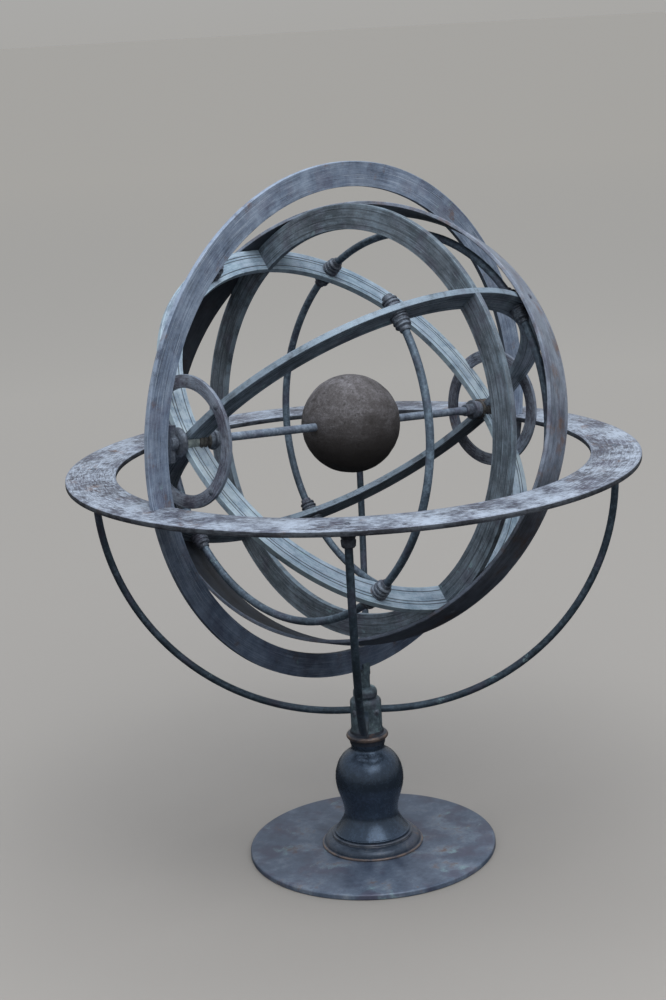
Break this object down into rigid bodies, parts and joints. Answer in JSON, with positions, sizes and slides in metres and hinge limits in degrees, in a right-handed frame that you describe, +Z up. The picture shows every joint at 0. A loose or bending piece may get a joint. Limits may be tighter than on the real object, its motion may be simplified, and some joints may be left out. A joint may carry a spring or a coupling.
{
  "type": "armillary sphere",
  "caption": "Armillary sphere on a turned column: nested metal rings turn on a polar axle inside a tilting meridian ring, held in a flat horizon ring on curved rods.",
  "frame": {"origin": "middle of the base plate's underside", "axes": "+Z up along the column; the meridian ring lies in the XZ plane, with the north pole of the sphere towards -X"},
  "size_m": [0.4599, 0.46, 0.573],
  "materials": {
    "base_metal": "dark worn patina",
    "column_metal": "dark worn patina",
    "rod_metal": "dark worn patina",
    "horizon_metal": "dark worn patina",
    "meridian_metal": "dark worn patina",
    "ring_metal": "dark worn patina",
    "band_metal": "dark worn patina",
    "axle_metal": "dark worn patina",
    "ball": "matt, painted dark",
    "fittings": "dark worn patina"
  },
  "bodies": {
    "base": {"base_plate": "base_metal", "base_flange": "column_metal", "baluster": "column_metal", "collar": "column_metal", "cradle_head": "column_metal", "head_screws": "fittings", "fork_cap": "column_metal", "tie_bolt": "fittings", "cradle_rod_1": "rod_metal", "cradle_rod_2": "rod_metal", "cradle_rod_3": "rod_metal", "cradle_rod_4": "rod_metal", "ferrule_1": "fittings", "ferrule_2": "fittings", "ferrule_3": "fittings", "ferrule_4": "fittings", "horizon_ring": "horizon_metal", "horizon_rivets": "fittings"},
    "meridian": {"meridian_ring": "meridian_metal", "north_bearing": "fittings", "south_bearing": "fittings", "bearing_screws": "fittings"},
    "sphere": {"equator_ring": "ring_metal", "equinox_colure_1": "ring_metal", "equinox_colure_2": "ring_metal", "solstice_colure_1": "ring_metal", "solstice_colure_2": "ring_metal", "ecliptic_band": "band_metal", "ecliptic_rivets": "fittings", "north_tropic_1": "rod_metal", "north_tropic_2": "rod_metal", "north_tropic_3": "rod_metal", "south_tropic_1": "rod_metal", "south_tropic_2": "rod_metal", "south_tropic_3": "rod_metal", "south_tropic_4": "rod_metal", "north_tropic_ferrules": "fittings", "south_tropic_ferrules": "fittings", "north_polar_circle": "fittings", "south_polar_circle": "fittings", "polar_rivets": "fittings", "polar_axle": "axle_metal", "earth_ball": "ball", "north_boss": "fittings", "south_boss": "fittings", "north_collar": "fittings", "south_collar": "fittings", "north_nut": "fittings", "south_nut": "fittings"}
  },
  "joints": [
    {"name": "meridian_tilt", "type": "hinge", "parent": "base", "child": "meridian", "pos_m": [0, 0, 0.366], "axis": [0, 1, 0], "range_deg": [-95.6, 84.4]},
    {"name": "sphere_spin", "type": "hinge", "parent": "meridian", "child": "sphere", "pos_m": [0, 0, 0.366], "axis": [-0.9952, 0, 0.0976], "continuous": true}
  ]
}
